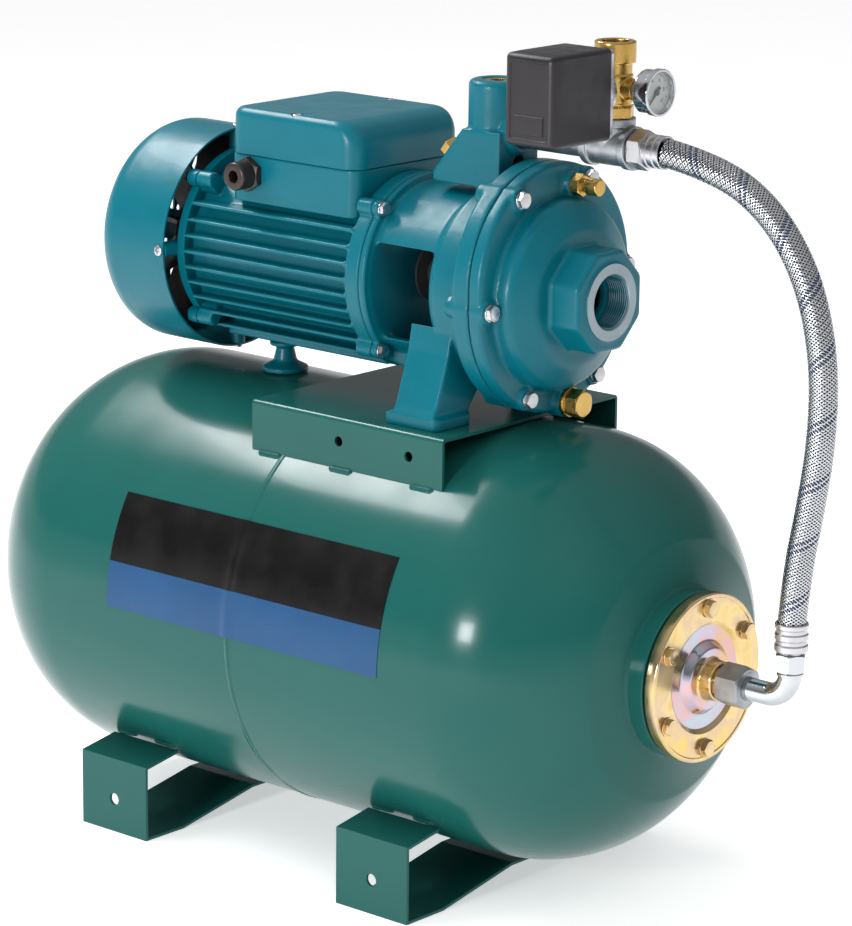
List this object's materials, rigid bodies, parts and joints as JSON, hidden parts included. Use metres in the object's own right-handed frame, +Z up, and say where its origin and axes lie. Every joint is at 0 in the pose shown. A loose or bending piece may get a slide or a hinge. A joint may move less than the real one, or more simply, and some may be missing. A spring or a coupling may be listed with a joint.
{
  "type": "centrifugal water pump",
  "caption": "Centrifugal booster pump on a horizontal membrane tank, with a finned motor, pressure switch, gauge, brass manifold and braided hose.",
  "frame": {"origin": "on the floor, under the middle of the set without its hose", "axes": "+X from the motor's fan end towards the suction port and the tank's flange, +Z up"},
  "size_m": [0.9008, 0.3798, 0.75],
  "materials": {
    "tank_paint": "gloss green enamel",
    "pump_paint": "gloss teal enamel",
    "rubber": "matte",
    "zinc_yellow": "yellow passivated zinc",
    "zinc": "bright zinc plate",
    "galvanised": "galvanised malleable iron",
    "chrome": "polished",
    "brass": "machined",
    "steel": "ground",
    "black_plastic": "matte",
    "cast_iron": "as cast",
    "copper": "enamelled copper wire",
    "lamination": "stacked sheet",
    "braid": "woven stainless wire",
    "dial_white": "printed",
    "pointer_black": "satin",
    "clear_lens": "clear",
    "white_plastic": "moulded",
    "ceramic": "lapped ceramic"
  },
  "bodies": {
    "frame": {"tank_shell": "tank_paint", "tank_bladder": "rubber", "tank_flange": "zinc_yellow", "flange_bolts": "zinc_yellow", "air_valve": "black_plastic", "tank_foot_left": "tank_paint", "tank_foot_right": "tank_paint", "pump_platform": "tank_paint", "platform_bolts": "zinc", "motor_housing": "pump_paint", "rear_shield": "pump_paint", "stator_core": "lamination", "stator_windings": "copper", "bearing_outer_rings": "steel", "fan_cover": "pump_paint", "lantern": "pump_paint", "motor_bolts": "zinc", "motor_leg": "pump_paint", "terminal_box": "pump_paint", "terminal_lid": "pump_paint", "housing_screws": "zinc", "terminal_board": "black_plastic", "run_capacitor": "white_plastic", "cable_gland": "black_plastic", "pump_body": "pump_paint", "pump_cover": "pump_paint", "cover_gasket": "rubber", "cover_bolts": "zinc", "stage_diffuser": "cast_iron", "seal_stationary": "ceramic", "vent_plug": "brass", "drain_plug": "brass", "delivery_nipple": "galvanised", "manifold_tee": "galvanised", "five_way": "brass", "blanking_plugs": "brass", "gauge_case": "chrome", "gauge_dial": "dial_white", "gauge_lens": "clear_lens", "switch_base": "zinc", "switch_spring": "zinc", "switch_cover": "black_plastic", "switch_glands": "black_plastic", "hose_tube": "braid", "hose_upper_nut": "zinc", "hose_ferrules": "zinc", "hose_elbow": "chrome", "elbow_nut": "zinc"},
    "rotor": {"shaft": "steel", "rotor_core": "lamination", "bearing_inner_rings": "steel", "cooling_fan": "black_plastic", "water_slinger": "rubber", "impeller_first": "brass", "impeller_second": "brass", "impeller_nut": "brass", "seal_rotating": "rubber"},
    "bearing_balls": {"bearing_balls": "chrome"},
    "gauge_needle": {"gauge_pointer": "pointer_black"},
    "rocker": {"switch_rocker": "zinc"}
  },
  "joints": [
    {"name": "rotor_spin", "type": "hinge", "parent": "frame", "child": "rotor", "pos_m": [-0.0385, 0, 0.529], "axis": [1, 0, 0], "continuous": true},
    {"name": "ball_orbit", "type": "hinge", "parent": "frame", "child": "bearing_balls", "pos_m": [-0.0385, 0, 0.529], "axis": [1, 0, 0], "continuous": true},
    {"name": "gauge_needle_turn", "type": "hinge", "parent": "frame", "child": "gauge_needle", "pos_m": [0.2695, 0, 0.711], "axis": [1, 0, 0], "range_deg": [-270, 0], "stiffness_Nm_per_rad": 0.0001},
    {"name": "rocker_tilt", "type": "hinge", "parent": "frame", "child": "rocker", "pos_m": [0.2295, -0.053, 0.702], "axis": [1, 0, 0], "range_deg": [0, 6], "stiffness_Nm_per_rad": 0.05}
  ],
  "couplings": [
    {"joint": "ball_orbit", "follows": "rotor_spin", "ratio": 0.397}
  ]
}
